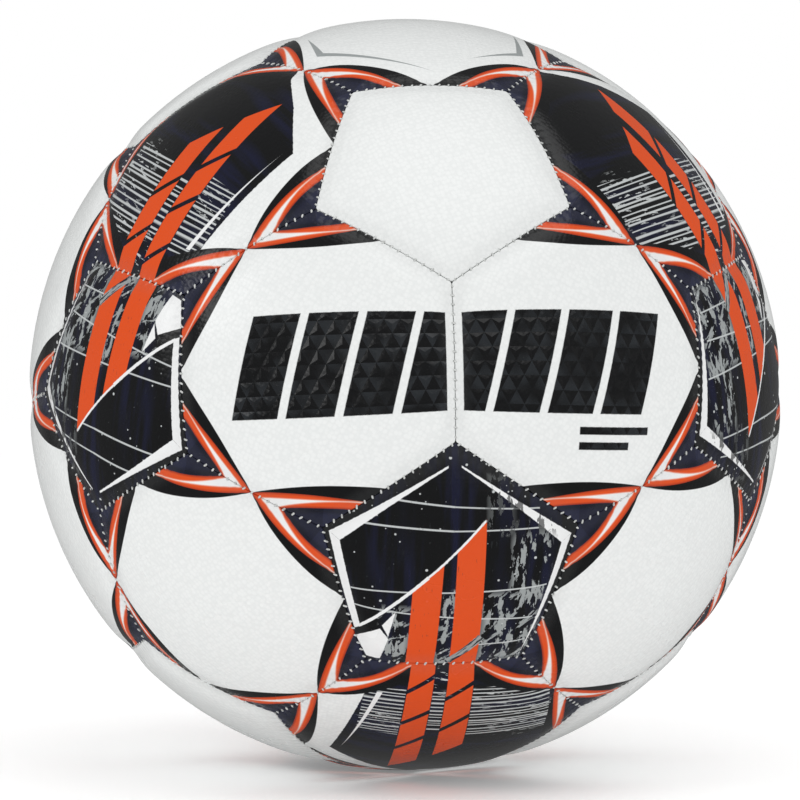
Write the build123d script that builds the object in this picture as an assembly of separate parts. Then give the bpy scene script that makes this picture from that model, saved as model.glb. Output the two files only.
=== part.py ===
from build123d import *
import math
import os

# A stitched ball of 32 panels for indoor football. Origin at the ball's centre, +Z up, and the
# point that rests on the floor at the bottom. All sizes are in millimetres, all angles in degrees.

# Driving dimensions
ball_circumference = 630.0
cover_thickness = 1.2        # coated synthetic leather
foam_thickness = 1.4         # foam backing glued behind the cover
lining_thickness = 1.0       # woven lining glued behind the foam
bladder_thickness = 1.1      # butyl rubber
seam_allowance = 4.6         # how far a panel's turned-in edge reaches below the ball's surface
layer_gap = 0.05             # glue line between two layers of a panel
seam_gap = 0.02              # from a panel's turned-in edge to the plane of its seam
edge_radius = 1.8            # roll of a panel's edge into the seam
corner_radius = 1.2          # rounding of a panel's corner, where three seams meet
thread_radius = 0.35
thread_end_gap = 1.2         # from a seam's end to the end of its thread

# Valve: a rubber sleeve on the bladder, and the core that is pushed into it
valve_stem_radius = 3.8
valve_hole_radius = 4.0      # hole through cover, foam and lining
valve_flange_radius = 12.0
valve_flange_thickness = 1.2
valve_tube_radius = 3.4
valve_tube_depth = 12.0      # how far the sleeve's tube reaches into the bladder
valve_recess = 0.3           # the stem's end stands this far below the cover
valve_rim_chamfer = 0.5
core_radius = 2.0
core_clearance = 0.04        # between core and sleeve, all round
core_length = 16.0
core_head_radius = 2.9
core_head_thickness = 1.0
core_head_gap = 0.1          # all round the head in its seat
needle_channel_radius = 1.02
needle_channel_length = 10.0
needle_funnel = 0.5          # chamfer at the mouth of the needle channel
patch_radius = 16.0
patch_thickness = 0.5

# Loose foam blocks that lie in the bottom of the bladder
foam_block_width = 34.0      # across the flats
foam_block_spacing = 35.5
foam_block_top = -62.0       # height of the blocks' upper faces
foam_block_clearance = 0.3   # from the bladder's inner wall

# How the ball lies on the floor: turns of the panel layout, in this order
layout_yaw = 7.35            # about +Z
layout_tilt = -7.72          # about +X
layout_roll = -1.37          # about +Y

# Sizes worked out from the ones above
ball_radius = ball_circumference / (2 * math.pi)
foam_radius = ball_radius - cover_thickness - layer_gap
lining_radius = foam_radius - foam_thickness - layer_gap
seam_bottom_radius = ball_radius - seam_allowance
bladder_radius = seam_bottom_radius - layer_gap
bladder_inner_radius = bladder_radius - bladder_thickness
golden = (1 + math.sqrt(5)) / 2

# A truncated icosahedron of edge 1 has this circumscribed radius, and its seams are its edges
# pushed out onto the sphere
radius_of_unit_edge = math.sqrt(58 + 18 * math.sqrt(5)) / 4
seam_edge = ball_radius / radius_of_unit_edge
seam_angle = math.degrees(2 * math.asin(seam_edge / 2 / ball_radius))


def side_plane_angle(sides):
    """Angle between a panel's axis and the planes of its seams."""
    circumradius = seam_edge / (2 * math.sin(math.pi / sides))
    apothem = seam_edge / (2 * math.tan(math.pi / sides))
    return math.degrees(math.atan2(apothem, math.sqrt(ball_radius**2 - circumradius**2)))


# ---- Layout: where the panels, seams and valve are ----

def turned(direction):
    """A direction of the upright layout, turned to how the ball lies."""
    direction = direction.rotate(Axis.Z, layout_yaw)
    direction = direction.rotate(Axis.X, layout_tilt)
    return direction.rotate(Axis.Y, layout_roll)


def cyclic(x, y, z):
    """The three cyclic orders of a direction's components."""
    return [Vector(x, y, z), Vector(z, x, y), Vector(y, z, x)]


def neighbours(direction, others):
    """Those of the 12 pentagon directions that are next to this one."""
    nearness = math.cos(math.radians(70))
    return [other for other in others if nearness < direction.dot(other) < 0.99]


pentagon_directions = [
    turned(corner.normalized())
    for side in (golden, -golden)
    for end in (1, -1)
    for corner in cyclic(0, side, end)
]
pentagon_pairs = [
    (a, b)
    for index, a in enumerate(pentagon_directions)
    for b in neighbours(a, pentagon_directions[index + 1:])
]
hexagon_triples = [
    (a, b, c)
    for a, b in pentagon_pairs
    for c in neighbours(b, pentagon_directions[pentagon_directions.index(b) + 1:])
    if c in neighbours(a, pentagon_directions)
]


def corner_between(pentagon, neighbour):
    """The corner of a pentagon panel that points at its neighbour."""
    return (pentagon * 2 + neighbour).normalized()


def panel_place(centre, towards):
    """Location whose +Z is the panel's axis and whose +Y points at a neighbouring pentagon."""
    across = towards.cross(centre)
    return Plane(origin=(0, 0, 0), x_dir=across, z_dir=centre).location


def from_top_down(places):
    """Places in the order that the panels are numbered in: from the top, and round by azimuth."""
    def order(place):
        axis = (place * Pos(0, 0, 1)).position
        return (-round(axis.Z, 3), round(math.atan2(axis.X, -axis.Y), 3))
    return sorted(places, key=order)


pentagon_places = from_top_down(
    panel_place(centre, neighbours(centre, pentagon_directions)[0])
    for centre in pentagon_directions
)
hexagon_places = from_top_down(
    panel_place((a + b + c).normalized(), a) for a, b, c in hexagon_triples
)

# The valve is in a hexagon at the back, a little above the middle
valve_direction = turned(Vector(-1, golden**2, 0).normalized())


def faces_valve(place):
    """Whether the panel at this place is the one with the valve."""
    return (place * Pos(0, 0, 1)).position.dot(valve_direction) > 0.999


valve_place = [place for place in hexagon_places if faces_valve(place)][0]


# ---- Panels and their backing ----

def seam_pyramid(sides, inset):
    """Pyramid from the ball's centre through a panel's seams, each side moved in by inset."""
    half_angle = math.radians(side_plane_angle(sides))
    apex = Vector(0, 0, inset / math.sin(half_angle))
    height = 1.3 * ball_radius
    reach = (height - apex.Z) * math.tan(half_angle) / math.cos(math.pi / sides)
    first = math.pi / 2 if sides == 5 else math.pi / 3
    turns = [first + 2 * math.pi * k / sides for k in range(sides)]
    rim = [Vector(reach * math.cos(t), reach * math.sin(t), height) for t in turns]
    walls = [
        Face(Wire.make_polygon([apex, rim[k], rim[(k + 1) % sides]])) for k in range(sides)
    ]
    return Solid(Shell(walls + [Face(Wire.make_polygon(rim))]))


def ball(radius):
    """Sphere whose poles and seam line lie away from +Z, where the panels are made."""
    return Sphere(radius, rotation=(90, 0, 0))


def is_corner(edge):
    """Whether an edge runs along a panel's corner, from the surface inwards."""
    return edge.geom_type == GeomType.LINE


def layer_tray(sides, outer_radius, thickness, inset, rounding=0.0):
    """One layer of a panel: a curved sheet whose edges are turned in along the seams."""
    block = seam_pyramid(sides, inset) & ball(outer_radius)
    if rounding:
        block = fillet(block.edges().filter_by(is_corner), corner_radius)
        rim = [e for e in block.edges() if (e @ 0.5).length > outer_radius - 1e-3]
        block = fillet(rim, rounding)
    hollow = seam_pyramid(sides, inset + thickness) & ball(outer_radius - thickness)
    return block - hollow - ball(seam_bottom_radius)


def layer_inset(thickness_outside):
    """How far in from the seam's plane a layer's edge is, behind the layers outside it."""
    return seam_gap + thickness_outside


def with_valve_hole(tray):
    """A layer with the hole that the valve's stem comes up through."""
    hole = Pos(0, 0, ball_radius) * Cylinder(valve_hole_radius, 3 * seam_allowance)
    return tray - hole


def make_layers(sides):
    """The cover, foam and lining of one panel, about +Z."""
    foam_inset = layer_inset(cover_thickness + layer_gap)
    lining_inset = layer_inset(cover_thickness + foam_thickness + 2 * layer_gap)
    cover = layer_tray(sides, ball_radius, cover_thickness, layer_inset(0), edge_radius)
    foam = layer_tray(sides, foam_radius, foam_thickness, foam_inset)
    lining = layer_tray(sides, lining_radius, lining_thickness, lining_inset)
    return cover, foam, lining


# ---- Seam threads ----

def thread_centre_radius():
    """Radius at which a thread lies against the two rolled edges of its seam."""
    reach = edge_radius + thread_radius + layer_gap
    depth = edge_radius - math.sqrt(reach**2 - (edge_radius + seam_gap) ** 2)
    return ball_radius - depth


def seam_thread(start, end):
    """Thread along the seam between two corners of a panel."""
    trim = math.degrees(thread_end_gap / ball_radius)
    lie = Plane(origin=(0, 0, 0), x_dir=start, z_dir=start.cross(end))
    arc = Solid.make_torus(
        thread_centre_radius(), thread_radius, lie, major_angle=seam_angle - 2 * trim
    )
    return arc.rotate(Axis((0, 0, 0), start.cross(end)), trim)


def hexagon_seams():
    """Threads of the seams between two hexagons."""
    return [seam_thread(corner_between(a, b), corner_between(b, a)) for a, b in pentagon_pairs]


def pentagon_seams():
    """Threads of the seams around the pentagons."""
    return [
        seam_thread(corner_between(centre, first), corner_between(centre, second))
        for triple in hexagon_triples
        for centre, first, second in (triple, triple[1:] + triple[:1], triple[2:] + triple[:2])
    ]


# ---- Bladder, valve and filling ----

def rod(radius, low, high):
    """Cylinder about +Z between two heights."""
    return Pos(0, 0, (low + high) / 2) * Cylinder(radius, high - low)


def cap_sheet(outer_radius, thickness, rim_radius):
    """Round sheet that lies on a sphere about the ball's centre, about +Z."""
    return (ball(outer_radius) - ball(outer_radius - thickness)) & rod(rim_radius, 0, 2 * ball_radius)


stem_top = ball_radius - valve_recess
head_seat = stem_top - core_head_thickness - layer_gap


def make_bladder():
    """Butyl sphere with the hole that the valve's stem comes through."""
    hole = rod(valve_stem_radius + layer_gap, 0, 2 * ball_radius)
    return ball(bladder_radius) - ball(bladder_inner_radius) - hole


def make_valve_patch():
    """Reinforcing disc on the outside of the bladder, around the stem."""
    disc = cap_sheet(bladder_radius + layer_gap + patch_thickness, patch_thickness, patch_radius)
    return disc - rod(valve_stem_radius + layer_gap, 0, 2 * ball_radius)


def make_valve_sleeve():
    """Flange inside the bladder, stem out to the cover, and the tube that holds the core."""
    flange_radius = bladder_inner_radius - layer_gap
    flange = cap_sheet(flange_radius, valve_flange_thickness, valve_flange_radius)
    root = flange_radius - valve_flange_thickness
    stem = rod(valve_stem_radius, root, stem_top)
    stem = chamfer(stem.edges().sort_by(Axis.Z)[-1], valve_rim_chamfer)
    tube = rod(valve_tube_radius, bladder_radius - valve_tube_depth, root + valve_flange_thickness)
    bore = rod(core_radius + core_clearance, 0, 2 * ball_radius)
    seat = rod(core_head_radius + core_head_gap, head_seat, 2 * ball_radius)
    return flange + stem + tube - bore - seat


def make_valve_core():
    """Plug with a head, and the channel that the inflation needle goes into."""
    shank = rod(core_radius, stem_top - core_length, stem_top - core_head_thickness / 2)
    shank = chamfer(shank.edges().sort_by(Axis.Z)[0], core_radius / 4)
    head = rod(core_head_radius, stem_top - core_head_thickness, stem_top)
    mouth = stem_top - needle_funnel
    channel = rod(needle_channel_radius, mouth - needle_channel_length, 2 * ball_radius)
    funnel = Pos(0, 0, stem_top - needle_funnel / 2) * Cone(
        needle_channel_radius, needle_channel_radius + needle_funnel, needle_funnel
    )
    return shank + head - channel - funnel


def make_foam_blocks():
    """Six-sided foam blocks, one in the middle and six around it, resting on the bladder."""
    room = ball(bladder_inner_radius - foam_block_clearance)
    ring = [(foam_block_spacing, 60 * k) for k in range(6)]
    blocks = []
    for distance, angle in [(0, 0)] + ring:
        outline = RegularPolygon(foam_block_width / 2, 6, major_radius=False, rotation=30)
        prism = extrude(outline, ball_radius)
        place = Rot(0, 0, angle) * Pos(distance, 0, foam_block_top - ball_radius)
        blocks.append((place * prism) & room)
    return blocks


# ---- Files: one for each node ----

def write(node, shapes):
    """Write a node's solids to its file."""
    solids = [solid for shape in shapes for solid in shape.solids()]
    if len(solids) == 1:
        group = solids[0]
        group.label = node
    else:
        group = Compound(label=node, children=solids)
    export_step(group, f"parts/{node}.step")


os.makedirs("parts", exist_ok=True)

for kind, sides, places in (("hexagon", 6, hexagon_places), ("pentagon", 5, pentagon_places)):
    cover, foam, lining = make_layers(sides)
    for number, place in enumerate(places, start=1):
        panel = with_valve_hole(cover) if sides == 6 and faces_valve(place) else cover
        write(f"{kind}_panel_{number:02d}", [place * panel])
    for layer, tray in (("foam_backings", foam), ("linings", lining)):
        trays = [
            place * (with_valve_hole(tray) if sides == 6 and faces_valve(place) else tray)
            for place in places
        ]
        write(f"{kind}_{layer}", trays)

write("hexagon_seam_threads", hexagon_seams())
write("pentagon_seam_threads", pentagon_seams())
write("bladder", [valve_place * make_bladder()])
write("valve_patch", [valve_place * make_valve_patch()])
write("valve_sleeve", [valve_place * make_valve_sleeve()])
write("valve_core", [valve_place * make_valve_core()])
write("foam_filling", make_foam_blocks())
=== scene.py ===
"""Looks of a stitched 32-panel indoor football: printed and embossed panels, stitches, valve."""
import math

import bpy
import numpy as np
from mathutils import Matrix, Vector, noise


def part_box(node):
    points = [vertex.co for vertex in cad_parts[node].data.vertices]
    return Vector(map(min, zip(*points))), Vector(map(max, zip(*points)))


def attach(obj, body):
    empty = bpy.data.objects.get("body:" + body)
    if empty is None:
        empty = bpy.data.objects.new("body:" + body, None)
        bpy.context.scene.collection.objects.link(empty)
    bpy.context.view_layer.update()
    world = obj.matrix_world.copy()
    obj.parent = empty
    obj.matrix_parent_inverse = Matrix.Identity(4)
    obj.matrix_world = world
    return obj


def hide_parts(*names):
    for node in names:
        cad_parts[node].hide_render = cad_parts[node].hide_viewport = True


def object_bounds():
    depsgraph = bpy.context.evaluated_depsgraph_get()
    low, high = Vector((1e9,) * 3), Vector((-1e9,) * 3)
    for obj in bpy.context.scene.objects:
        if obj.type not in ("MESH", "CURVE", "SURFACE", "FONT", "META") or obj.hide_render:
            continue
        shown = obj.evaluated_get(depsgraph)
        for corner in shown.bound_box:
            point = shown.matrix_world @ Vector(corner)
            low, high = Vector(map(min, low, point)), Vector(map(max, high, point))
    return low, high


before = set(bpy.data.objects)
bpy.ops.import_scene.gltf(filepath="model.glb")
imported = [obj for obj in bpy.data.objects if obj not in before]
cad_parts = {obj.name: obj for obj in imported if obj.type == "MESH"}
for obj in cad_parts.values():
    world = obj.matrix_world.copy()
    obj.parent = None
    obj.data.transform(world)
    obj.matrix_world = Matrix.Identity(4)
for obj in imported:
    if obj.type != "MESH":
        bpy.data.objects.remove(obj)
cad_low, cad_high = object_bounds()

# ---- Sizes, in millimetres unless a name says otherwise ----

METRES = 0.001
RADIUS = (cad_high.z - cad_low.z) / 2 / METRES
GOLDEN = (1 + math.sqrt(5)) / 2
UNIT_EDGE_RADIUS = math.sqrt(58 + 18 * math.sqrt(5)) / 4
SEAM_EDGE = RADIUS / UNIT_EDGE_RADIUS
SEAM_LENGTH = 2 * RADIUS * math.asin(SEAM_EDGE / 2 / RADIUS)

# How the ball lies, as in the CAD model: turns of the upright layout, in degrees
LAYOUT_TURNS = (("Z", 7.35), ("X", -7.72), ("Y", -1.37))

COVER_THICKNESS = 1.2
SEAM_ALLOWANCE = 4.6
SEAM_GAP = 0.02
ROLL_RADIUS = 0.34           # roll of a panel's edge into the seam
SEAM_SAG = 0.85              # how far a panel's rolled edge lies below its middle
SAG_REACH = 4.0              # from the seam, over which the sag fades out
CORNER_RADIUS = 0.9
STITCHES_PER_SEAM = 17
STITCH_PITCH = SEAM_LENGTH / STITCHES_PER_SEAM
PUCKER_PULL = 0.17           # how much deeper the rolled edge lies at a stitch
PUCKER_OPEN = 0.06           # how much further the seam opens between two stitches
VALVE_HOLE_RADIUS = 4.0
VALVE_RIM = 0.35             # rounding of the hole's edge

THREAD_RADIUS = 0.26
STITCH_HALF_SPAN = 0.44      # across the seam
STITCH_SLANT = 0.2           # along the seam, over that half span
STITCH_DEPTH = 1.02          # of a stitch's top, below the ball's radius
PIT_REACH = 0.3              # along the seam, of the painted shade in the pit that a stitch pulls in

FOAM_VOXEL = 0.9
FOAM_SMOOTHING = 10          # passes, which wear the blocks' edges round
FOAM_DENT_SIZE = 5.0
FOAM_DENT_DEPTH = 0.25

PEBBLE_SIZE = 1.25
PEBBLE_HEIGHT = 0.05
FACET_HEIGHT = 0.42
PRINT_SOFTNESS = 0.16        # width over which a printed edge fades

BAKE_SPAN = 92               # of a panel's face, that fills the side of an exported texture
HIDDEN_BAKE_SPAN = 1200      # the same for what the seams hide, which goes into a corner
HIDDEN_BAKE_PLACE = 0.045    # of that corner's middle, as a share of the texture's side


# ---- Layout of the panels ----

def turn_matrix():
    """Rotation from the upright layout to how the ball lies."""
    total = np.eye(3)
    for axis, degrees in LAYOUT_TURNS:
        c, s = math.cos(math.radians(degrees)), math.sin(math.radians(degrees))
        turn = {
            "X": [[1, 0, 0], [0, c, -s], [0, s, c]],
            "Y": [[c, 0, s], [0, 1, 0], [-s, 0, c]],
            "Z": [[c, -s, 0], [s, c, 0], [0, 0, 1]],
        }[axis]
        total = np.array(turn) @ total
    return total


TURN = turn_matrix()


def unit(vector):
    """A direction as a numpy array of length one."""
    vector = np.array(vector, float)
    return vector / np.linalg.norm(vector)


def signs(x, y, z):
    """All sign choices of a direction's components, without doubles."""
    return sorted({(a * x, b * y, c * z) for a in (1, -1) for b in (1, -1) for c in (1, -1)})


# Pentagons of the upright layout. The print repeats after half a turn about the vertical.
DARK_PENTAGONS = [unit(p) for p in signs(GOLDEN, 1, 0) + [(0, GOLDEN, -1), (0, -GOLDEN, -1)]]
WHITE_PENTAGONS = [unit(p) for p in signs(1, 0, GOLDEN) + [(0, GOLDEN, 1), (0, -GOLDEN, 1)]]
PENTAGONS = DARK_PENTAGONS + WHITE_PENTAGONS
NEAR = math.cos(math.radians(70))


def next_to(a, b):
    """Whether two pentagon directions are neighbours."""
    return NEAR < a @ b < 0.99


def is_dark(pentagon):
    """Whether a pentagon has the dark print."""
    return any(pentagon @ dark > 0.99 for dark in DARK_PENTAGONS)


PAIRS = [
    (a, b) for i, a in enumerate(PENTAGONS) for b in PENTAGONS[i + 1:] if next_to(a, b)
]
HEXAGONS = [
    (a, b, c)
    for i, a in enumerate(PENTAGONS)
    for j, b in enumerate(PENTAGONS[i + 1:], start=i + 1)
    for c in PENTAGONS[j + 1:]
    if next_to(a, b) and next_to(b, c) and next_to(a, c)
]


def panel_axes(centre, up):
    """Right, up and outward directions of a panel, as it lies, with up towards a direction."""
    outward = unit(centre)
    upward = unit(up - outward * (up @ outward))
    return TURN @ np.cross(upward, outward), TURN @ upward, TURN @ outward


def hexagon_role(corners):
    """The print of the hexagon between three pentagons, and which of them its print faces."""
    dark = [p for p in corners if is_dark(p)]
    facing = [p for p in corners if abs(p[0]) < 0.01]
    if len(dark) == 1:
        return "slash", dark[0]
    if not dark:
        return "chevron", facing[0]
    if len(facing) == 2:
        centre = unit(sum(corners))
        first, second = facing
        up = first if np.cross(first, centre) @ second > 0 else second
        return "band_marked" if is_dark(up) else "band", up
    return "plain", corners[0]


def panel_list():
    """Every panel: its number of sides, its print and its axes."""
    panels = []
    for corners in HEXAGONS:
        role, up = hexagon_role(corners)
        panels.append((6, role, panel_axes(sum(corners), up)))
    slashed = [c for c in HEXAGONS if hexagon_role(c)[0] == "slash"]
    for pentagon in PENTAGONS:
        if is_dark(pentagon):
            below = [sum(c) for c in slashed if any(pentagon @ p > 0.99 for p in c)][0]
            panels.append((5, "dark", panel_axes(pentagon, -below)))
        else:
            beside = [p for p in PENTAGONS if next_to(p, pentagon)][0]
            panels.append((5, "white", panel_axes(pentagon, beside)))
    return panels


def node_direction(node):
    """The direction of a CAD node's box from the middle of the ball."""
    low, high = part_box(node)
    return np.array((low + high).normalized())


PANEL_NODES = {n: node_direction(n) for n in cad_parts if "_panel_" in n}


def panel_node(sides, outward):
    """The CAD node of the panel that lies in a direction."""
    kind = {5: "pentagon", 6: "hexagon"}[sides]
    nodes = [n for n in PANEL_NODES if n.startswith(kind)]
    return max(nodes, key=lambda node: PANEL_NODES[node] @ outward)


# ---- Panel meshes ----

def half_angle(sides):
    """Angle between a panel's axis and its seam planes."""
    circumradius = SEAM_EDGE / (2 * math.sin(math.pi / sides))
    apothem = SEAM_EDGE / (2 * math.tan(math.pi / sides))
    return math.atan2(apothem, math.sqrt(RADIUS**2 - circumradius**2))


def side_turns(sides):
    """Angles of the middles of a panel's sides, in its own axes."""
    first = math.pi / 6 if sides == 6 else math.pi * 0.3
    return first + 2 * math.pi * np.arange(sides) / sides


def side_spread(sides, count):
    """Angles of the points along one side, closer together round its corners."""
    apothem = RADIUS * math.tan(half_angle(sides))
    half_turn = math.pi / sides
    straight = (apothem - CORNER_RADIUS) * math.tan(half_turn)
    length = straight + CORNER_RADIUS * half_turn
    along = (2 * (np.arange(count) + 0.5) / count - 1) * length
    bend = np.maximum(np.abs(along) - straight, 0) / CORNER_RADIUS
    x = apothem - CORNER_RADIUS * (1 - np.cos(bend))
    y = np.minimum(np.abs(along), straight) + CORNER_RADIUS * np.sin(bend)
    return np.copysign(np.arctan2(y, x), along)


def all_sides(sides, angles):
    """The angles of one side's points, repeated for every side."""
    return (side_turns(sides)[:, None] + angles).ravel()


def on_sphere(flat):
    """Directions of points on the plane that touches the ball."""
    directions = np.column_stack([flat, np.full(len(flat), RADIUS)])
    return directions / np.linalg.norm(directions, axis=1)[:, None]


def outline(sides, count, distance):
    """Points of a panel's outline moved in by a distance, on the plane that touches the ball."""
    apothem = RADIUS * math.tan(half_angle(sides) - distance / RADIUS)
    rounding = min(CORNER_RADIUS + 1.1 * max(distance, 0.0), apothem)
    angles = side_spread(sides, count)
    half_turn = math.pi / sides
    corner_reach = (apothem - rounding) / math.cos(half_turn)
    tangent_angle = math.atan2((apothem - rounding) * math.tan(half_turn), apothem)
    off_corner = half_turn - np.abs(angles)
    inner = np.maximum(rounding**2 - (corner_reach * np.sin(off_corner)) ** 2, 0)
    rounded = corner_reach * np.cos(off_corner) + np.sqrt(inner)
    reach = np.where(np.abs(angles) <= tangent_angle, apothem / np.cos(angles), rounded)
    turned = all_sides(sides, angles)
    return np.tile(reach, sides)[:, None] * np.column_stack([np.cos(turned), np.sin(turned)])


def side_directions(sides):
    """For each side, in the panel's own axes: the middle of its seam, and the way along it."""
    tilt, turns = half_angle(sides), side_turns(sides)
    across = np.column_stack([np.cos(turns), np.sin(turns), turns * 0])
    alongs = np.column_stack([-np.sin(turns), np.cos(turns), turns * 0])
    return across * math.sin(tilt) + (0, 0, math.cos(tilt)), alongs


def along_seam(sides, directions):
    """How far along its nearest seam each direction is, from the seam's middle."""
    middles, alongs = side_directions(sides)
    nearest = np.argmax(directions @ middles.T, axis=1)
    forward = np.einsum("ij,ij->i", directions, middles[nearest])
    sideways = np.einsum("ij,ij->i", directions, alongs[nearest])
    return RADIUS * np.arctan2(sideways, forward)


def sag_at(distance):
    """How far the surface lies below the ball's radius, at a distance from the seam."""
    return SEAM_SAG * math.exp(-(max(distance - ROLL_RADIUS, 0) / SAG_REACH) ** 2)


def skin_profile():
    """Rings of a panel's closed surface, from the middle of its face over the rolled edge to the
    middle of its back: points per side, distance from the seam, depth below the ball's radius,
    and how much the stitches pucker it."""
    rings = []
    for count, pucker, distances in (
        (12, 0, (33, 28, 24)),
        (24, 0, (20.5, 17.5, 15, 12.5, 10.5, 8.8)),
        (48, 0.12, (7.2, 6, 5, 4.1, 3.3)),
    ):
        rings += [(count, distance, sag_at(distance), pucker) for distance in distances]
    for distance, pucker in ((2.6, 0.35), (2.0, 0.55), (1.6, 0.75), (1.25, 0.9), (0.9, 0.97)):
        rings.append((96, distance, sag_at(distance), pucker))
    for degrees in (90, 74, 58, 42, 26, 10):
        bend = math.radians(degrees)
        distance = SEAM_GAP + ROLL_RADIUS * (1 - math.cos(bend))
        depth = SEAM_SAG + ROLL_RADIUS * (1 - math.sin(bend))
        rings.append((96, distance, depth, 1))
    for depth in (2.6, 3.4, SEAM_ALLOWANCE):
        rings.append((96, SEAM_GAP, depth, 0))
    inner = SEAM_GAP + COVER_THICKNESS
    rings.append((96, inner, SEAM_ALLOWANCE, 0))
    rings.append((48, inner, COVER_THICKNESS + SEAM_SAG + 0.5, 0))
    for count, distance in ((24, inner + 1), (24, 6), (12, 12), (12, 24)):
        rings.append((count, distance, COVER_THICKNESS + sag_at(distance), 0))
    return rings


def rings_with_room(sides, has_valve):
    """The rings of a panel that stay clear of its middle, or of the valve's hole there."""
    middle_radius = 1.6 * VALVE_HOLE_RADIUS if has_valve else 2.5
    room = RADIUS * half_angle(sides) - middle_radius
    return [ring for ring in skin_profile() if ring[1] < room]


def ring_points(sides, count, distance, depth, pucker):
    """A ring's points in the panel's own axes, with its flat and seam coordinates."""
    flat = outline(sides, count, distance)
    directions = on_sphere(flat)
    along = along_seam(sides, directions)
    wave = 0.5 + 0.5 * np.cos(2 * math.pi * along / STITCH_PITCH)
    ends = np.clip((SEAM_LENGTH / 2 - np.abs(along)) / STITCH_PITCH, 0, 1)
    if pucker:
        shrink = 1 - PUCKER_OPEN * pucker * (1 - wave * ends) / RADIUS / half_angle(sides)
        directions[:, :2] *= shrink[:, None]
        directions /= np.linalg.norm(directions, axis=1)[:, None]
    depths = depth + PUCKER_PULL * pucker * wave * ends
    points = directions * (RADIUS - depths)[:, None]
    return points, flat, np.column_stack([along, depths])


def join_rings(first, second, start, next_start):
    """Faces between two neighbouring rings with the same number of points or twice as many."""
    if first == second:
        return [
            (start + k, next_start + k, next_start + (k + 1) % first, start + (k + 1) % first)
            for k in range(first)
        ]
    faces = []
    fine, coarse = max(first, second), min(first, second)
    fine_start, coarse_start = (next_start, start) if second > first else (start, next_start)
    for k in range(coarse):
        a, b = coarse_start + k, coarse_start + (k + 1) % coarse
        p = fine_start + 2 * k
        q = fine_start + 2 * k + 1
        r = fine_start + (2 * k + 2) % fine
        fan = [(a, p, q), (a, q, b), (b, q, r)]
        faces += fan if second > first else [face[::-1] for face in fan]
    return faces


def hole_rings():
    """Rings of the valve's hole, from inside it over its rounded rim: radius and depth."""
    return [
        (VALVE_HOLE_RADIUS, COVER_THICKNESS * 0.6),
        (VALVE_HOLE_RADIUS, VALVE_RIM),
        (VALVE_HOLE_RADIUS + 0.3 * VALVE_RIM, 0.3 * VALVE_RIM),
        (VALVE_HOLE_RADIUS + VALVE_RIM, 0.0),
        (VALVE_HOLE_RADIUS + 2 * VALVE_RIM, -0.04),
        (VALVE_HOLE_RADIUS + 4 * VALVE_RIM, 0.0),
    ]


def circle_points(sides, count, radius, depth):
    """A round ring's points about the panel's middle, with its flat and seam coordinates."""
    angles = all_sides(sides, side_spread(sides, count))
    flat = radius * np.column_stack([np.cos(angles), np.sin(angles)])
    depths = np.full(len(flat), depth)
    return on_sphere(flat) * (RADIUS - depth), flat, np.column_stack([depths * 0, depths])


def panel_mesh(name, sides, axes, has_valve):
    """The closed mesh of one panel, with its flat coordinates and seam coordinates as UV maps."""
    rings = [ring_points(sides, *ring) for ring in rings_with_room(sides, has_valve)]
    if has_valve:
        front = [circle_points(sides, 12, *ring) for ring in hole_rings()]
        back = [circle_points(sides, 12, VALVE_HOLE_RADIUS, COVER_THICKNESS)]
        rings = front + rings + back
    points, flat, seam = (np.concatenate(values) for values in zip(*rings))
    counts = [len(ring[0]) for ring in rings]
    starts = [sum(counts[:k]) for k in range(len(counts))]
    hidden_depth = SEAM_SAG + ROLL_RADIUS + PUCKER_PULL
    first_hidden = [ring[2][:, 1].min() > hidden_depth for ring in rings].index(True)
    faces, shown = [], []
    for k in range(len(rings) - 1):
        more = join_rings(counts[k], counts[k + 1], starts[k], starts[k + 1])
        faces += more
        shown += [k + 1 < first_hidden] * len(more)
    first, last = counts[0], counts[-1]
    if has_valve:
        faces += join_rings(last, first, starts[-1], starts[0])
        shown += [False] * last
    else:
        total = len(points)
        points = np.vstack([points, [0, 0, RADIUS], [0, 0, RADIUS - COVER_THICKNESS]])
        flat = np.vstack([flat, [0, 0], [0, 0]])
        seam = np.vstack([seam, [0, 0], [0, COVER_THICKNESS]])
        faces += [(total, k, (k + 1) % first) for k in range(first)]
        faces += [
            (total + 1, starts[-1] + (k + 1) % last, starts[-1] + k) for k in range(last)
        ]
        shown += [True] * first + [False] * last
    mesh = bpy.data.meshes.new(name)
    mesh.from_pydata((points @ np.array(axes) * METRES).tolist(), [], faces)
    mesh.polygons.foreach_set("use_smooth", [True] * len(mesh.polygons))
    corners = np.zeros(len(mesh.loops), np.int32)
    mesh.loops.foreach_get("vertex_index", corners)
    add_uv(mesh, "flat", flat[corners])
    add_uv(mesh, "seam", seam[corners])
    add_uv(mesh, "OFBake", bake_places(flat, faces, shown))
    mesh.uv_layers["flat"].active_render = True
    mesh.update()
    return mesh


def bake_places(flat, faces, shown):
    """Where each face corner lies on the square that an export bakes to."""
    places = []
    for face, is_shown in zip(faces, shown):
        span, middle = (BAKE_SPAN, 0.5) if is_shown else (HIDDEN_BAKE_SPAN, HIDDEN_BAKE_PLACE)
        places.append(flat[list(face)] / span + middle)
    return np.concatenate(places)


def add_uv(mesh, name, values):
    """Add a UV map with these values, one pair for each face corner."""
    layer = mesh.uv_layers.new(name=name)
    layer.data.foreach_set("uv", np.asarray(values, np.float32).ravel())


def add_object(name, data):
    """An object in the scene with this mesh, lamp or camera."""
    item = bpy.data.objects.new(name, data)
    bpy.context.scene.collection.objects.link(item)
    return item


def add_piece(name, mesh, node, slot):
    """A piece of the ball that stands for a CAD node."""
    piece = add_object(name, mesh)
    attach(piece, "root")
    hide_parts(node)
    return piece


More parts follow.
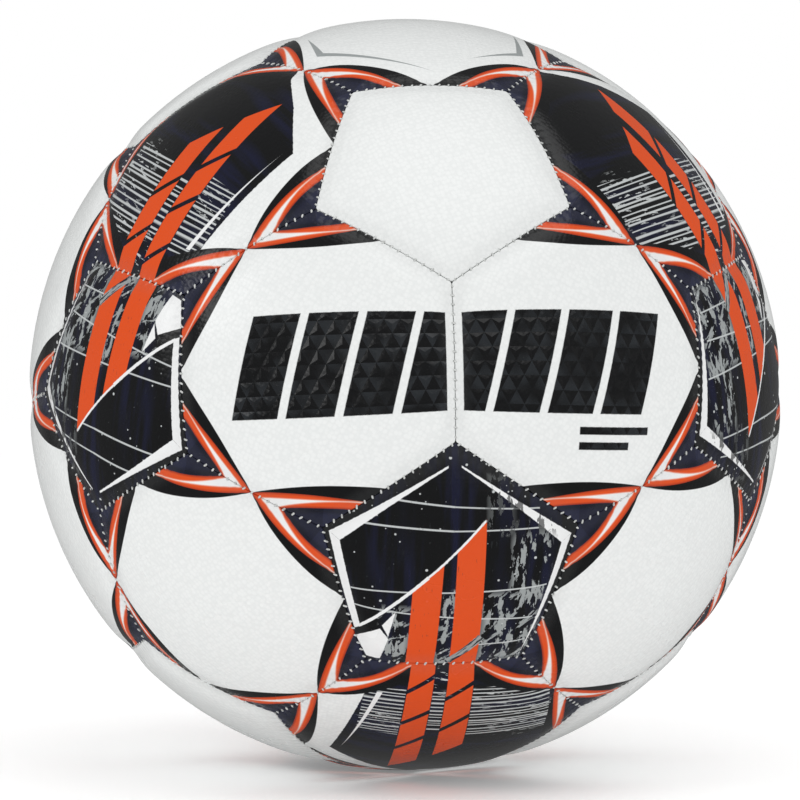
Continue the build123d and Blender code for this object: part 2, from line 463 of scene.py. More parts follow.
def make_panels(materials):
    """Every cover panel as its own piece, in place of its CAD node."""
    valve_direction = node_direction("valve_core")
    for sides, role, axes in panel_list():
        node = panel_node(sides, axes[2])
        has_valve = sides == 6 and axes[2] @ valve_direction > 0.99
        name = node.replace("_panel", "_cover")
        mesh = panel_mesh(name, sides, axes, has_valve)
        mesh.materials.append(materials["band_valve" if has_valve else role])
        add_piece(name, mesh, node, "cover_white" if sides == 6 else "cover_pentagon")


# ---- Stitches ----

# Points along a stitch: share of its half span, and depth below its top
STITCH_ARCH = (
    (-1.12, 0.75), (-1, 0.28), (-0.6, 0.04), (0, 0), (0.6, 0.04), (1, 0.28), (1.12, 0.75),
)


def tube(path, radius, sides=8):
    """Vertices and faces of a round thread along a path, closed at both ends."""
    path = np.asarray(path, float)
    ways = np.gradient(path, axis=0)
    ways /= np.linalg.norm(ways, axis=1)[:, None]
    outward = unit(path.mean(axis=0))
    vertices, faces = [], []
    for point, way in zip(path, ways):
        across = unit(np.cross(outward, way))
        lift = np.cross(way, across)
        for k in range(sides):
            angle = 2 * math.pi * k / sides
            vertices.append(point + radius * (across * math.cos(angle) + lift * math.sin(angle)))
    for ring in range(len(path) - 1):
        for k in range(sides):
            a, b = ring * sides + k, ring * sides + (k + 1) % sides
            faces.append((a, b, b + sides, a + sides))
    faces.append(tuple(range(sides - 1, -1, -1)))
    faces.append(tuple((len(path) - 1) * sides + k for k in range(sides)))
    return vertices, faces


def stitch_path(middle, along, across, offset, uneven):
    """One stitch's line: up out of one panel's edge, over the seam and down into the other's.
    Uneven holds four random numbers that move it a little, as by hand."""
    turn = (offset + 0.16 * uneven[0]) / RADIUS
    base = unit(middle * math.cos(turn) + along * math.sin(turn))
    way = unit(along - base * (along @ base))
    half_span = STITCH_HALF_SPAN * (1 + 0.15 * uneven[1])
    slant = STITCH_SLANT + 0.1 * uneven[2]
    depth = STITCH_DEPTH + 0.07 * uneven[3]
    path = []
    for share, drop in STITCH_ARCH:
        sideways = across * share * half_span + way * share * slant
        path.append(base * (RADIUS - depth - drop) + sideways)
    return path


def make_stitches(name, seams, node, material):
    """All the stitches of one kind of seam, as one piece in place of its CAD thread."""
    vertices, faces = [], []
    half = STITCHES_PER_SEAM // 2
    draws = np.random.default_rng(len(seams))
    for start, end in seams:
        middle, along = unit(start + end), unit(end - start)
        across = np.cross(middle, along)
        for k in range(-half, half + 1):
            uneven = draws.uniform(-1, 1, 4)
            path = stitch_path(middle, along, across, k * STITCH_PITCH, uneven)
            more, rims = tube(path, THREAD_RADIUS)
            faces += [tuple(len(vertices) + i for i in rim) for rim in rims]
            vertices += more
    mesh = bpy.data.meshes.new(name)
    mesh.from_pydata((np.array(vertices) * METRES).tolist(), [], faces)
    mesh.polygons.foreach_set("use_smooth", [True] * len(mesh.polygons))
    mesh.materials.append(material)
    add_piece(name, mesh, node, "thread")


def corner_between(pentagon, neighbour):
    """The corner of a pentagon panel that points at its neighbour, as the ball lies."""
    return TURN @ unit(2 * pentagon + neighbour)


def make_all_stitches(material):
    """Stitches of the hexagons' own seams, and of the seams round the pentagons."""
    own = [(corner_between(a, b), corner_between(b, a)) for a, b in PAIRS]
    around = []
    for corners in HEXAGONS:
        for k in range(3):
            centre, first, second = corners[k], corners[k - 1], corners[k - 2]
            way = (corner_between(centre, first), corner_between(centre, second))
            outside = np.cross(way[0], way[1]) @ (TURN @ centre)
            around.append(way if outside > 0 else way[::-1])
    make_stitches("hexagon_seam_stitches", own, "hexagon_seam_threads", material)
    make_stitches("pentagon_seam_stitches", around, "pentagon_seam_threads", material)


# ---- Node-building helpers ----

class Field:
    """A number that varies over a surface. Arithmetic on it adds math nodes."""

    def __init__(self, tree, socket):
        self.tree = tree
        self.socket = socket

    def math(self, operation, *others, clamp=False):
        node = self.tree.nodes.new("ShaderNodeMath")
        node.operation = operation
        node.use_clamp = clamp
        for slot, value in zip(node.inputs, (self, *others)):
            if isinstance(value, Field):
                self.tree.links.new(value.socket, slot)
            else:
                slot.default_value = value
        return Field(self.tree, node.outputs[0])

    def __add__(self, other):
        return self.math("ADD", other)

    def __sub__(self, other):
        return self.math("SUBTRACT", other)

    def __rsub__(self, other):
        return self.math("MULTIPLY_ADD", -1.0, other)

    def __mul__(self, other):
        return self.math("MULTIPLY", other)

    def __neg__(self):
        return self.math("MULTIPLY", -1.0)

    def times_plus(self, factor, added):
        """This field times a factor, plus another field or number."""
        return self.math("MULTIPLY_ADD", factor, added)

    def size(self):
        return self.math("ABSOLUTE")

    def mask(self, softness=PRINT_SOFTNESS):
        """1 where a signed distance is positive, 0 where negative, with a soft edge."""
        return self.math("MULTIPLY_ADD", 1 / softness, 0.5, clamp=True)

    def above(self, level, softness):
        """1 where this is above a level, fading to 0 below it."""
        return self.math("MULTIPLY_ADD", 1 / softness, 0.5 - level / softness, clamp=True)


def both(*fields):
    """The smallest of several fields: the overlap of shapes, or of masks."""
    result = fields[0]
    for other in fields[1:]:
        result = result.math("MINIMUM", other)
    return result


def either(*fields):
    """The largest of several fields: the union of shapes, or of masks."""
    result = fields[0]
    for other in fields[1:]:
        result = result.math("MAXIMUM", other)
    return result


def vector_math(tree, operation, vector, other=(0, 0, 0)):
    """A vector math node on a vector's socket and a constant."""
    node = tree.nodes.new("ShaderNodeVectorMath")
    node.operation = operation
    tree.links.new(vector, node.inputs[0])
    node.inputs[1].default_value = other
    return node


class Sheet:
    """A pair of flat coordinates in millimetres, and shapes drawn on it as signed distances,
    which are positive inside."""

    def __init__(self, tree, x, y):
        self.tree, self.x, self.y = tree, x, y
        join = tree.nodes.new("ShaderNodeCombineXYZ")
        tree.links.new(x.socket, join.inputs[0])
        tree.links.new(y.socket, join.inputs[1])
        self.point = join.outputs[0]

    def left_of(self, start, end):
        """Distance to the left of the line from start to end."""
        length = math.dist(start, end)
        nx, ny = (start[1] - end[1]) / length, (end[0] - start[0]) / length
        return self.x.times_plus(nx, self.y.times_plus(ny, -(nx * start[0] + ny * start[1])))

    def polygon(self, *corners):
        """A convex polygon with its corners in anticlockwise order."""
        following = corners[1:] + corners[:1]
        return both(*[self.left_of(a, b) for a, b in zip(corners, following)])

    def away_from(self, x, y):
        """Distance from a point."""
        node = vector_math(self.tree, "DISTANCE", self.point, (x, y, 0))
        return Field(self.tree, node.outputs["Value"])

    def left_of_arc(self, start, end, bulge):
        """Distance to the left of an arc, which bulges to the right of its chord by bulge."""
        chord = math.dist(start, end)
        radius = (chord**2 / 4 + bulge**2) / (2 * abs(bulge))
        nx, ny = (start[1] - end[1]) / chord, (end[0] - start[0]) / chord
        reach = math.copysign(radius - abs(bulge), bulge)
        centre = ((start[0] + end[0]) / 2 + nx * reach, (start[1] + end[1]) / 2 + ny * reach)
        away = self.away_from(*centre)
        return radius - away if bulge > 0 else away - radius

    def turned(self, degrees):
        """The same sheet with its axes turned anticlockwise."""
        c, s = math.cos(math.radians(degrees)), math.sin(math.radians(degrees))
        x = self.x.times_plus(c, self.y * s)
        y = self.x.times_plus(-s, self.y * c)
        return Sheet(self.tree, x, y)

    def strip(self, start, end, width, bulge=0.0):
        """A line of a width from start to end, straight or with a bulge to its right."""
        length = math.dist(start, end)
        ux, uy = (end[0] - start[0]) / length, (end[1] - start[1]) / length
        near = self.left_of_arc(start, end, bulge) if bulge else self.left_of(start, end)
        along = self.x.times_plus(ux, self.y.times_plus(uy, -(ux * start[0] + uy * start[1])))
        return both(width / 2 - near.size(), along, length - along)

    def cells(self, size, seed=0, randomness=1.0):
        """Scattered cells: the distance from the nearest middle, in cells, and a number from
        0 to 1 that differs from cell to cell."""
        moved = vector_math(self.tree, "ADD", self.point, (seed * 37, seed * 19, 0))
        node = self.tree.nodes.new("ShaderNodeTexVoronoi")
        node.inputs["Scale"].default_value = 1 / size
        node.inputs["Randomness"].default_value = randomness
        self.tree.links.new(moved.outputs[0], node.inputs["Vector"])
        return Field(self.tree, node.outputs["Distance"]), Field(self.tree, node.outputs["Color"])

    def noise(self, scale_x, scale_y, detail=2.0, seed=0.0, rough=0.5):
        """Cloudy noise from 0 to 1, with its features' sizes in millimetres."""
        stretch = self.tree.nodes.new("ShaderNodeMapping")
        stretch.inputs["Scale"].default_value = (1 / scale_x, 1 / scale_y, 1)
        stretch.inputs["Location"].default_value = (seed * 3.7, seed * 1.9, seed)
        self.tree.links.new(self.point, stretch.inputs["Vector"])
        node = self.tree.nodes.new("ShaderNodeTexNoise")
        node.inputs["Scale"].default_value = 1
        node.inputs["Detail"].default_value = detail
        node.inputs["Roughness"].default_value = rough
        self.tree.links.new(stretch.outputs[0], node.inputs["Vector"])
        return Field(self.tree, node.outputs[0])


def linear(red, green, blue):
    """A colour given in ordinary 0 to 255 values, as the linear values that shaders take."""
    def one(value):
        value /= 255
        return value / 12.92 if value <= 0.04045 else ((value + 0.055) / 1.055) ** 2.4
    return (one(red), one(green), one(blue), 1.0)


WHITE = linear(240, 242, 241)
INK_WHITE = linear(240, 241, 241)
BLACK = linear(13, 14, 16)
SOFT_BLACK = linear(42, 46, 50)
NAVY = linear(19, 22, 48)
LIGHT_NAVY = linear(32, 36, 66)
ORANGE = linear(226, 78, 13)
DEEP_ORANGE = linear(184, 56, 14)
PALE_ORANGE = linear(240, 178, 150)
GREY = linear(156, 161, 161)
PALE_GREY = linear(196, 200, 200)
SEAM_SHADE = linear(120, 122, 122)
PIT_SHADE = linear(58, 60, 60)


class Paint:
    """Layers of colour on a surface, the last one on top."""

    def __init__(self, tree, colour):
        self.tree = tree
        self.colour = colour

    def over(self, mask, colour):
        """Lay a colour over the ones before, where the mask is 1."""
        node = self.tree.nodes.new("ShaderNodeMix")
        node.data_type = "RGBA"
        self.tree.links.new(mask.socket, node.inputs["Factor"])
        colours = [s for s in node.inputs if s.type == "RGBA"]
        for slot, value in zip(colours, (self.colour, colour)):
            if isinstance(value, Paint):
                value = value.colour
            if isinstance(value, bpy.types.NodeSocket):
                self.tree.links.new(value, slot)
            else:
                slot.default_value = value
        self.colour = [s for s in node.outputs if s.type == "RGBA"][0]
        return self


def new_material(name):
    """An empty node material with a Principled shader, and its tree and shader."""
    material = bpy.data.materials.new(name)
    material.use_nodes = True
    tree = material.node_tree
    tree.nodes.clear()
    output = tree.nodes.new("ShaderNodeOutputMaterial")
    shader = tree.nodes.new("ShaderNodeBsdfPrincipled")
    tree.links.new(shader.outputs[0], output.inputs[0])
    return material, tree, shader


def uv_fields(tree, name):
    """The two numbers of a UV map."""
    source = tree.nodes.new("ShaderNodeUVMap")
    source.uv_map = name
    split = tree.nodes.new("ShaderNodeSeparateXYZ")
    tree.links.new(source.outputs[0], split.inputs[0])
    return Field(tree, split.outputs[0]), Field(tree, split.outputs[1])


def add_bump(tree, shader, height):
    """Bump from a height, which is a field in millimetres."""
    node = tree.nodes.new("ShaderNodeBump")
    node.inputs["Strength"].default_value = 1
    node.inputs["Distance"].default_value = METRES
    tree.links.new(height.socket, node.inputs["Height"])
    tree.links.new(node.outputs[0], shader.inputs["Normal"])


# ---- Prints ----

HEX_SIDE = RADIUS * math.tan(half_angle(6))    # from a hexagon's middle to its sides
ROOT3 = math.sqrt(3)


def pebbles(sheet):
    """The fine embossed grain of the cover, as a height from 0 to 1."""
    return 1 - sheet.cells(PEBBLE_SIZE, randomness=0.55)[0] * 1.25


def blank(sheet):
    """A white cover before it is printed, with painted shade that makes it a little greyer
    between its pebbles.
    """
    between = (1 - pebbles(sheet)).above(0.6, 0.4)
    return Paint(sheet.tree, WHITE).over(between * 0.15, PALE_GREY)


def pyramids(sheet, grid):
    """Small triangular pyramids in rows, as a height from 0 at their edges to 1, and a mask of
    those that point up."""
    parts, slopes = [], []
    for turn in (90, 210, 330):
        c, s = math.cos(math.radians(turn)), math.sin(math.radians(turn))
        part = sheet.x.times_plus(c / grid, sheet.y * (s / grid)).math("FRACT")
        parts.append(part)
        slopes.append(0.5 - (part - 0.5).size())
    upward = (parts[0] + parts[1] + parts[2]).above(1.5, 0.1)
    return both(*slopes) * 3, upward


def streaks(sheet, angle, seed):
    """Long soft streaks at an angle, from 0 to 1."""
    turned = sheet.turned(angle)
    broad = turned.noise(45, 11, 1, seed).above(0.5, 0.12)
    return both(turned.noise(34, 3.2, 3, seed).above(0.5, 0.2), broad)


def grit(sheet, length, width, level, seed):
    """Torn scratches where a worn print has gaps."""
    return sheet.noise(length, width, 4, seed, 0.64).above(level, 0.014)


def specks(sheet, spacing, size, seed):
    """Scattered round specks of uneven size, as a signed distance."""
    away, chance = sheet.cells(spacing, seed)
    return chance.times_plus(2 * size, -size) - away * spacing


def fine_lines(sheet, pitch):
    """Fine lines across a panel, slightly curved and unevenly spaced, as a mask."""
    level = sheet.x.times_plus(0.1, sheet.y) + sheet.x * sheet.x * 0.0012
    rows = Sheet(sheet.tree, sheet.x, level)
    uneven = rows.noise(400, 3, 1, 2)
    phase = level.times_plus(1 / pitch, uneven * 1.8).math("FRACT")
    thickness = rows.noise(70, 1.9, 1, 9).times_plus(0.55, -0.12)
    return ((thickness - (phase - 0.5).size()) * pitch).mask(0.14)


def hexagon_sides(sheet):
    """A hexagon's sheet folded at its middles, as seen from the nearest pentagon seam."""
    spread = sheet.x.size() * (ROOT3 / 2)
    to_pentagons = either(sheet.y, sheet.y.times_plus(-0.5, spread))
    squares = sheet.x.math("POWER", 2.0) + sheet.y.math("MULTIPLY", sheet.y)
    across = to_pentagons.math("MULTIPLY", to_pentagons)
    along = (squares - across).math("MAXIMUM", 0.0).math("SQRT")
    return Sheet(sheet.tree, along, HEX_SIDE - to_pentagons)


def paint_tips(paint, folded, allowed=None):
    """The pointed star at each corner of a hexagon: black border, orange arc, navy field."""
    seam_middle = (33.15, 19.1)
    border = folded.left_of_arc(seam_middle, (0.8, 0), 2.0)
    orange = folded.left_of_arc(seam_middle, (7.9, 0), 1.45)
    field = folded.left_of_arc((28.1, 10.7), (12.1, 0), 0.7)
    bright = both(orange, -field) - 0.45
    wedge = both(
        folded.left_of_arc((13.0, 3.9), (28.9, 11.8), -0.75),
        folded.left_of_arc((31.5, 16.3), (13.0, 3.9), 0.35),
    )
    facet = folded.left_of((22.1, 0), (17.5, 5.6))
    shade = both(field, 1.6 - field)
    masks = [
        border.mask(), orange.mask(), bright.mask(0.7), field.mask(),
        both(field, facet).mask() * 0.6, shade.mask(1.2) * 0.5,
        (wedge + 0.15).mask(0.6), wedge.mask(0.35),
    ]
    if allowed:
        masks = [both(m, allowed) for m in masks]
    colours = (BLACK, DEEP_ORANGE, ORANGE, NAVY, LIGHT_NAVY, BLACK, PALE_ORANGE, INK_WHITE)
    for mask, colour in zip(masks, colours):
        paint.over(mask, colour)


def print_white(sheet):
    """A plain white panel."""
    return blank(sheet), None


def print_plain(sheet):
    """A white hexagon with a star tip at each corner."""
    folded = hexagon_sides(sheet)
    paint = blank(sheet)
    paint_tips(paint, folded)
    return paint, None


def blocks(band, low, high, half_height, pitch, gap, lean):
    """A row of slanted blocks, as a signed distance."""
    slanted = band.y.times_plus(-lean, band.x)
    cell = slanted.times_plus(1 / pitch, -high / pitch).math("FRACT")
    bars = ((cell - 0.5).size() * -1 + 0.5) * pitch - gap / 2
    return both(bars, half_height - band.y.size(), slanted - low, high - slanted)


def print_band(sheet, marked=False, valve=False):
    """A white hexagon with a row of slanted, faceted blocks that runs to its front seam."""
    folded = hexagon_sides(sheet)
    paint = blank(sheet)
    front = both(sheet.x, sheet.left_of((0, 0), (ROOT3, -1)))
    paint_tips(paint, folded, 1 - front.mask(0.02))
    band = sheet.turned(30)
    shape = blocks(band, -19.5, HEX_SIDE + 2.2, 13.2, 15, 2.3, 0.26)
    shape = both(shape, HEX_SIDE - 2.4 - band.x)
    if marked:
        bars = [
            both(1.0 - (band.y - y).size(), band.x - left, 3.5 - band.x)
            for y, left in ((17.6, -17.5), (21.6, -11.5))
        ]
        shape = either(shape, *bars)
    if valve:
        away = sheet.away_from(0, 0)
        shape = both(shape, away - 9.5)
        ring = both(away - 7.6, 8.3 - away)
        paint.over(ring.mask(), GREY)
    facets, upward = pyramids(band, 3.7)
    # Painted highlight: the pyramids' faces that point up are lighter, in cloudy patches, as if
    # they caught the light
    glint = sheet.noise(9, 9, 1, 4).above(0.5, 0.2)
    black = shape.mask()
    shade = Paint(sheet.tree, BLACK).over(both(upward, glint) * 0.8, SOFT_BLACK)
    paint.over(black, shade)
    return paint, both(black, facets)


def print_chevron(sheet):
    """A white hexagon with star tips and two thin grey angles."""
    folded = hexagon_sides(sheet)
    paint = blank(sheet)
    angles = either(
        sheet.polygon((-12.8, 23.3), (-28.6, 14.6), (-27.2, 13.2)),
        sheet.polygon((-28.6, 14.6), (-28.8, -8.5), (-26.6, 13.4)),
        sheet.polygon((-1.1, 32), (26.4, 12.9), (28.2, 14.3)),
        sheet.polygon((28.2, 14.3), (26.2, 12.9), (28.6, -3.2)),
    )
    paint.over(angles.mask(), GREY)
    paint_tips(paint, folded)
    return paint, None


def print_slash(sheet):
    """A hexagon half covered by a black block with cut orange stripes and fine grey lines."""
    folded = hexagon_sides(sheet)
    block = both(
        sheet.left_of((-20.8, 22.2), (-26.2, -10.4)),
        sheet.left_of((-26.2, -10.4), (-13.5, -23)),
        either(
            sheet.left_of((-13.5, -23), (-2, -32)),
            sheet.left_of((-2, -32), (1.6, -37.9)),
        ),
    )
    ragged = sheet.noise(1.1, 1.1, 3, 5)
    body = Paint(sheet.tree, BLACK).over(streaks(sheet, -13, 3), NAVY)
    right = both(sheet.x - 8.6, 31.6 - sheet.x, sheet.left_of((8.6, 4.6), (31.6, 0)))
    left = both(-9.4 - sheet.x, sheet.x + 20.5, sheet.left_of((-20.5, 6.9), (-9.4, 5.2)))
    middle = both(1.2 - sheet.x, sheet.x + 2.2, sheet.y - 8)
    where = both(either(right, left, middle), 28 - sheet.y)
    body.over(both(where.mask(), fine_lines(sheet, 1.6)), PALE_GREY)
    torn = grit(sheet.turned(-13), 5, 1.1, 0.6, 4)
    where = either(
        9 - sheet.away_from(24, 9),
        6 - sheet.away_from(15, 24),
        5 - sheet.away_from(-15, 12),
        6 - sheet.away_from(-1, 31),
    )
    body.over(both(torn, where.mask(4)), PALE_GREY)
    body.over(sheet.polygon((-17.1, 26), (-22.9, -5.9), (-15.6, 26)).mask(), INK_WHITE)
    stripes = []
    for left_x, right_x, low, high, rise, gaps in (
        (-9.1, -2.4, -22.5, -14.0, 0.8, ((-3.6, 4.3), (11.7, 18), (27, 33.5))),
        (1.4, 8.4, -9.2, -1.7, 1, ((8.2, 15.3), (23.8, 30.5))),
    ):
        stripe = both(
            sheet.x - left_x, right_x - sheet.x, sheet.left_of((left_x, low), (right_x, high))
        )
        for first, last in gaps:
            gap = sheet.left_of((left_x, first), (right_x, last)).size() - 0.75
            stripe = both(stripe, gap)
        stripes.append(stripe)
    body.over(either(*stripes).mask(), ORANGE)
    paint = blank(sheet)
    paint.over((block + ragged * 0.5 - 0.25).mask(), body)
    paint_tips(paint, folded)
    paint.over(both(either(*stripes), sheet.y - 20).mask(), ORANGE)
    return paint, None


def print_dark(sheet):
    """A black pentagon with two orange stripes, white angles and worn grey patches."""
    x, y = sheet.x, sheet.y
    paint = Paint(sheet.tree, BLACK).over(streaks(sheet, 90, 6), NAVY)
    torn = grit(sheet, 2.4, 8, 0.55, 7)
    slanted = grit(sheet.turned(38), 7, 2.2, 0.575, 12)
    rough_edge = sheet.noise(0.9, 0.9, 2, 5) * 0.3 - 0.15
    upper = either(
        both(x - 9, 15.5 - x, y - 11, 27 - y),
        both(x - 15.5, 26 - x, y + 9, 14 - y),
    )
    lower = either(
        both(x - 8.6, 24 - x, -6 - y, y + 29),
        both(x + 2.6, 1.4 - x, -5 - y),
        both(x + 17.5, -10.2 - x, -10 - y),
    )
    paint.over(both(upper.mask(2), torn), GREY)
    paint.over(both(lower.mask(2.5), either(torn, slanted)), GREY)
    lines = [
        sheet.strip(start, end, width)
        for start, end, width in (
            ((-15.5, 20.8), (0, 18.9), 0.5), ((0, 18.9), (22.9, 17.3), 0.4),
            ((-24, 14.1), (0, 12.3), 0.5), ((0, 12.3), (25.6, 12), 0.4),
            ((-26.1, -5), (25.6, -5), 0.42), ((-25, -10.1), (22.4, -14.7), 0.42),
            ((8, -22), (21.3, -22.4), 0.4),
        )
    ]
    paint.over(either(*lines).mask(), PALE_GREY)
    start, end = (-23.7, -17.3), (8.2, 15.1)
    below = -sheet.left_of_arc(start, end, 1.0)
    stripes = either(
        sheet.polygon((-10.6, -31), (-3.1, -31), (-2.1, 6), (-9.5, 6)),
        sheet.polygon((1.0, -31), (8.3, -31), (8.3, 17), (1.1, 17)),
    )
    cut = sheet.strip((0.6, -28.6), (8.8, -19.4), 2.2) + rough_edge * 2
    stripes = both(stripes, below, -cut)
    paint.over(specks(sheet, 1.9, 0.5, 3).mask(0.12), PALE_GREY)
    hatch = sheet.turned(46).noise(6, 0.7, 3, 15).above(0.47, 0.06)
    paint.over(both(cut.mask(), hatch), GREY)
    paint.over(stripes.mask(), ORANGE)
    scratch = grit(sheet, 0.7, 4, 0.66, 8)
    paint.over(scratch * 0.5, SOFT_BLACK)
    white = either(
        sheet.strip(start, (-6, -0.6), 0.9, 0.25),
        sheet.strip((-6, -0.6), end, 0.6, 0.25),
        both(
            sheet.left_of((-1.9, 30.1), (-33, 10.7)),
            sheet.left_of((-33, 10.7), (-29.7, 8.5)),
            sheet.left_of_arc((-29.7, 8.5), (-1.9, 29.5), -0.5),
            -1.9 - x,
        ),
        sheet.polygon((-33, 10.7), (-24.7, -18.3), (-23.1, -17.2), (-29.7, 8.5)),
        both(
            sheet.left_of_arc((1.6, 29.6), (29.3, 6.9), -0.5),
            sheet.left_of((29.3, 6.9), (32.5, 9.0)),
            sheet.left_of((32.5, 9.0), (1.6, 30.1)),
            x - 1.6,
        ),
        sheet.polygon((32.5, 9.0), (29.3, 6.9), (20.3, -28.3)),
        sheet.polygon(
            (-24.3, -20.8), (-21.3, -27.9), (-17.6, -28.6), (-15.5, -20.3), (-17.8, -16.9)
        ),
        sheet.polygon((-17.3, -15.8), (-15.5, -19.4), (-13.9, -11.2)),
    )
    paint.over((white + rough_edge).mask(), INK_WHITE)
    chipped = both(torn, both(x - 8, y - 10).mask(4))
    paint.over(chipped * 0.8, BLACK)
    return paint, None


def stitch_pit_shade(along, depth):
    """Mask of the painted shade in the pits that the stitches pull into the panels' edges."""
    phase = along.times_plus(1 / STITCH_PITCH, 0.5).math("FRACT")
    off_stitch = (phase - 0.5).size() * STITCH_PITCH
    return both((PIT_REACH - off_stitch).mask(0.2), depth.above(SEAM_SAG + 0.2, 0.1))


def cover_material(role, draw):
    """A cover panel's material: print, grain and gloss."""
    material, tree, shader = new_material("cover_" + role)
    sheet = Sheet(tree, *uv_fields(tree, "flat"))
    along, depth = uv_fields(tree, "seam")
    paint, facets = draw(sheet)
    # Painted shade: a little where the face sags to its seam, more inside the seam, and dark in
    # the pits at the stitches
    paint.over(depth.above(0.65 * SEAM_SAG, 0.6 * SEAM_SAG) * 0.07, SEAM_SHADE)
    paint.over(depth.above(SEAM_SAG + 0.62, 0.25) * 0.4, SEAM_SHADE)
    paint.over(stitch_pit_shade(along, depth) * 0.8, PIT_SHADE)
    tree.links.new(paint.colour, shader.inputs["Base Color"])
    height = pebbles(sheet) * PEBBLE_HEIGHT
    if facets:
        height = facets.times_plus(FACET_HEIGHT, height)
    height = sheet.noise(9, 9, 2, 1).times_plus(0.12, height)
    add_bump(tree, shader, height)
    rough = sheet.noise(14, 14, 3, 2).times_plus(0.12, 0.2)
    tree.links.new(rough.socket, shader.inputs["Roughness"])
    shader.inputs["Specular IOR Level"].default_value = 0.5
    return material


def cover_materials():
    """A material for each kind of print. A print gives its paint and the height of its facets."""
    prints = {
        "white": print_white,
        "plain": print_plain,
        "band": print_band,
        "band_marked": lambda sheet: print_band(sheet, marked=True),
        "band_valve": lambda sheet: print_band(sheet, marked=True, valve=True),
        "chevron": print_chevron,
        "slash": print_slash,
        "dark": print_dark,
    }
    return {role: cover_material(role, draw) for role, draw in prints.items()}


# ---- Other materials ----

def own_place(tree):
    """The socket of a point's place in its object's own axes, in metres."""
    return tree.nodes.new("ShaderNodeTexCoord").outputs["Object"]


def solid_material(name, colour, other, scale, roughness, bump, cells=False):
    """A material in two tones, with clouds or cells of a size in millimetres."""
    material, tree, shader = new_material(name)
    grain = tree.nodes.new("ShaderNodeTexVoronoi" if cells else "ShaderNodeTexNoise")
    if not cells:
        grain.inputs["Detail"].default_value = 4
    grain.inputs["Scale"].default_value = 1 / (scale * METRES)
    tree.links.new(own_place(tree), grain.inputs["Vector"])
    value = Field(tree, grain.outputs[0])
    paint = Paint(tree, linear(*colour)).over(value.above(0.5, 0.5), linear(*other))
    tree.links.new(paint.colour, shader.inputs["Base Color"])
    tree.links.new(value.times_plus(0.2, roughness - 0.1).socket, shader.inputs["Roughness"])
    add_bump(tree, shader, value * bump)
    return material


def thread_material():
    """Waxed white thread, twisted from a few strands."""
    material, tree, shader = new_material("stitch_thread")
    grain = tree.nodes.new("ShaderNodeTexNoise")
    grain.inputs["Scale"].default_value = 1 / (0.5 * METRES)
    tree.links.new(own_place(tree), grain.inputs["Vector"])
    value = Field(tree, grain.outputs[0])
    paint = Paint(tree, linear(228, 230, 228)).over(value.above(0.5, 0.4), linear(176, 178, 176))
    tree.links.new(paint.colour, shader.inputs["Base Color"])
    add_bump(tree, shader, value * 0.1)
    shader.inputs["Roughness"].default_value = 0.55
    return material


def dress_cad_nodes():
    """Give the CAD nodes that stay their own materials."""
    foam = solid_material("backing_foam", (214, 205, 180), (188, 178, 152), 0.8, 0.8, 0.1, True)
    cloth = solid_material("lining_cloth", (225, 222, 212), (198, 194, 182), 0.7, 0.8, 0.15)
    bladder = solid_material("bladder_rubber", (32, 31, 30), (44, 43, 41), 6, 0.5, 0.2)
    patch = solid_material("patch_rubber", (38, 37, 36), (52, 50, 48), 3, 0.6, 0.1)
    sleeve = solid_material("sleeve_rubber", (46, 46, 47), (60, 60, 61), 1.2, 0.5, 0.06)
    core = solid_material("core_rubber", (30, 30, 31), (44, 44, 46), 0.9, 0.45, 0.05)
    looks = {
        "hexagon_foam_backings": foam,
        "pentagon_foam_backings": foam,
        "hexagon_linings": cloth,
        "pentagon_linings": cloth,
        "bladder": bladder,
        "valve_patch": patch,
        "valve_sleeve": sleeve,
        "valve_core": core,
    }
    for node, material in looks.items():
        shown = bpy.data.objects[node]
        for slot in shown.material_slots:
            slot.material = material
        if not shown.material_slots:
            shown.data.materials.append(material)


# ---- Foam filling ----

def make_filling():
    """The loose foam blocks, with worn edges and uneven skins, in place of their CAD solids."""
    blocks = add_object("cut_blocks", bpy.data.objects["foam_filling"].data.copy())
    cells = blocks.modifiers.new("cells", "REMESH")
    cells.mode = "VOXEL"
    cells.voxel_size = FOAM_VOXEL * METRES
    worn = blocks.modifiers.new("worn_edges", "SMOOTH")
    worn.iterations = FOAM_SMOOTHING
    shaped = blocks.evaluated_get(bpy.context.evaluated_depsgraph_get())
    mesh = bpy.data.meshes.new_from_object(shaped)
    bpy.data.objects.remove(blocks)
    points, outward = np.zeros((2, len(mesh.vertices), 3), np.float32)
    mesh.vertices.foreach_get("co", points.ravel())
    mesh.vertex_normals.foreach_get("vector", outward.ravel())
    dents = [1 - noise.noise(Vector(point) / (FOAM_DENT_SIZE * METRES)) for point in points]
    points -= outward * np.array(dents)[:, None] * FOAM_DENT_DEPTH * METRES
    mesh.vertices.foreach_set("co", points.ravel())
    mesh.polygons.foreach_set("use_smooth", [True] * len(mesh.polygons))
    mesh.materials.clear()
    mesh.materials.append(
        solid_material("filling_foam", (232, 214, 150), (205, 184, 122), 1.6, 0.9, 0.5, True)
    )
    piece = add_piece("loose_foam_blocks", mesh, "foam_filling", "filling_foam")


# ---- Floor, light and camera, in metres ----

FLOOR_RADIUS = 2.4
FLOOR_GLOW = 0.2             # light of the floor's own, which keeps it nearly white
ROOM_LIGHT = 0.83            # of the white room, on what it lights
MIRRORED_ROOM = 0.18         # of the room's reflection in glossy surfaces

# Lamps: name, place, diameter, and power in watts
LAMPS = (
    ("key_lamp", (0.5, -0.7, 2.45), 2.2, 11),
    ("fill_lamp", (-2.0, -1.0, 1.08), 0.9, 4.5),
    ("low_lamp", (0.9, -2.1, 0.1), 1.6, 1),
)

CAMERA_DISTANCE = 14 * RADIUS * METRES
CAMERA_ELEVATION = math.radians(3)
CAMERA_LENS = 236.3          # in millimetres, for a sensor 36 mm wide
CAMERA_SHIFT = -0.00625      # as a share of the picture's width, both ways


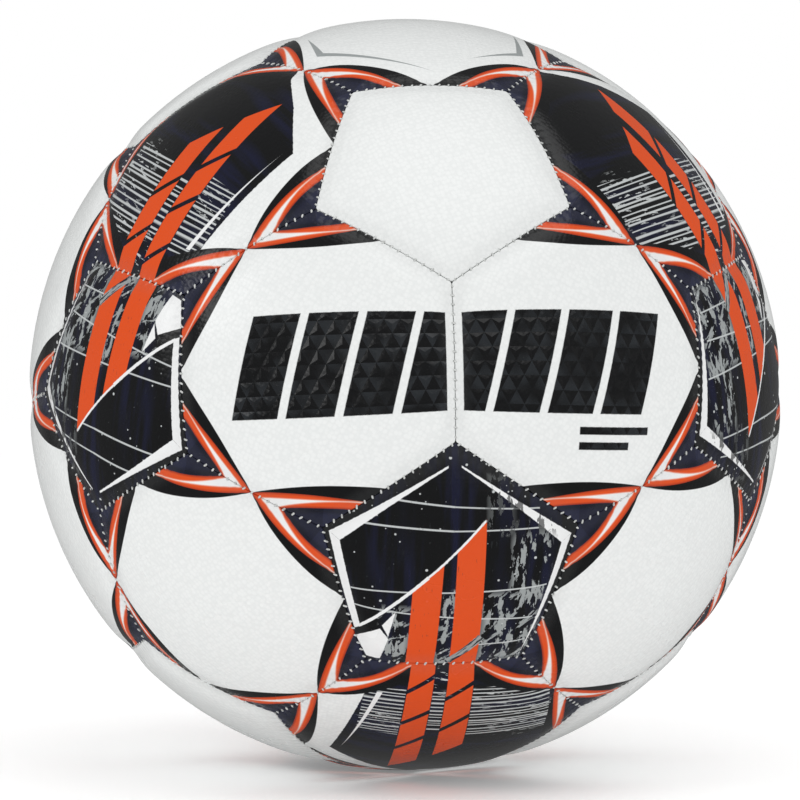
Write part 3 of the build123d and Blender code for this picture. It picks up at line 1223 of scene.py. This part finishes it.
def make_floor():
    """A pale round floor under the ball, which fades into the white room."""
    spokes = 64
    turns = [2 * math.pi * k / spokes for k in range(spokes)]
    rim = [
        (FLOOR_RADIUS * math.cos(turn), FLOOR_RADIUS * math.sin(turn), cad_low.z)
        for turn in turns
    ]
    mesh = bpy.data.meshes.new("floor")
    mesh.from_pydata(rim, [], [tuple(range(spokes))])
    floor = add_object("floor", mesh)
    material, tree, shader = new_material("floor_paint")
    shader.inputs["Base Color"].default_value = (0.93, 0.93, 0.93, 1)
    shader.inputs["Roughness"].default_value = 0.9
    shader.inputs["Specular IOR Level"].default_value = 0
    shader.inputs["Emission Color"].default_value = (1, 1, 1, 1)
    shader.inputs["Emission Strength"].default_value = FLOOR_GLOW
    length = vector_math(tree, "LENGTH", own_place(tree))
    away = Field(tree, length.outputs["Value"])
    tree.links.new((1 - away.above(1.0, 1.4)).socket, shader.inputs["Alpha"])
    mesh.materials.append(material)
    floor.visible_glossy = False


def make_light(name, place, size, power):
    """A large soft lamp that faces the ball."""
    lamp = bpy.data.lights.new(name, "AREA")
    lamp.shape = "DISK"
    lamp.size = size
    lamp.energy = power
    item = add_object(name, lamp)
    item.location = place
    item.rotation_euler = (-Vector(place)).to_track_quat("-Z", "Y").to_euler()


def make_studio():
    """A white room, with soft lamps above and beside the camera."""
    world = bpy.data.worlds.new("studio")
    world.use_nodes = True
    bpy.context.scene.world = world
    tree = world.node_tree
    sky = tree.nodes["Background"]
    sky.inputs["Color"].default_value = (1, 1, 1, 1)
    ray = tree.nodes.new("ShaderNodeLightPath")
    seen = Field(tree, ray.outputs["Is Camera Ray"])
    mirrored = Field(tree, ray.outputs["Is Glossy Ray"])
    strength = mirrored.times_plus(MIRRORED_ROOM - ROOM_LIGHT, ROOM_LIGHT)
    strength = seen.times_plus(1 - ROOM_LIGHT, strength)
    tree.links.new(strength.socket, sky.inputs["Strength"])
    for lamp in LAMPS:
        make_light(*lamp)
    bpy.context.scene.view_settings.view_transform = "Standard"


def make_camera():
    """A long lens in front of the ball, a little above its middle."""
    camera = bpy.data.cameras.new("camera")
    item = add_object("camera", camera)
    bpy.context.scene.camera = item
    back = -CAMERA_DISTANCE * math.cos(CAMERA_ELEVATION)
    item.location = (0, back, CAMERA_DISTANCE * math.sin(CAMERA_ELEVATION))
    item.rotation_euler = (math.pi / 2 - CAMERA_ELEVATION, 0, 0)
    camera.sensor_width = 36
    camera.lens = CAMERA_LENS
    camera.shift_x = CAMERA_SHIFT
    camera.shift_y = CAMERA_SHIFT
    camera.clip_end = 100


make_camera()
make_floor()
make_studio()
make_panels(cover_materials())
make_all_stitches(thread_material())
dress_cad_nodes()
make_filling()
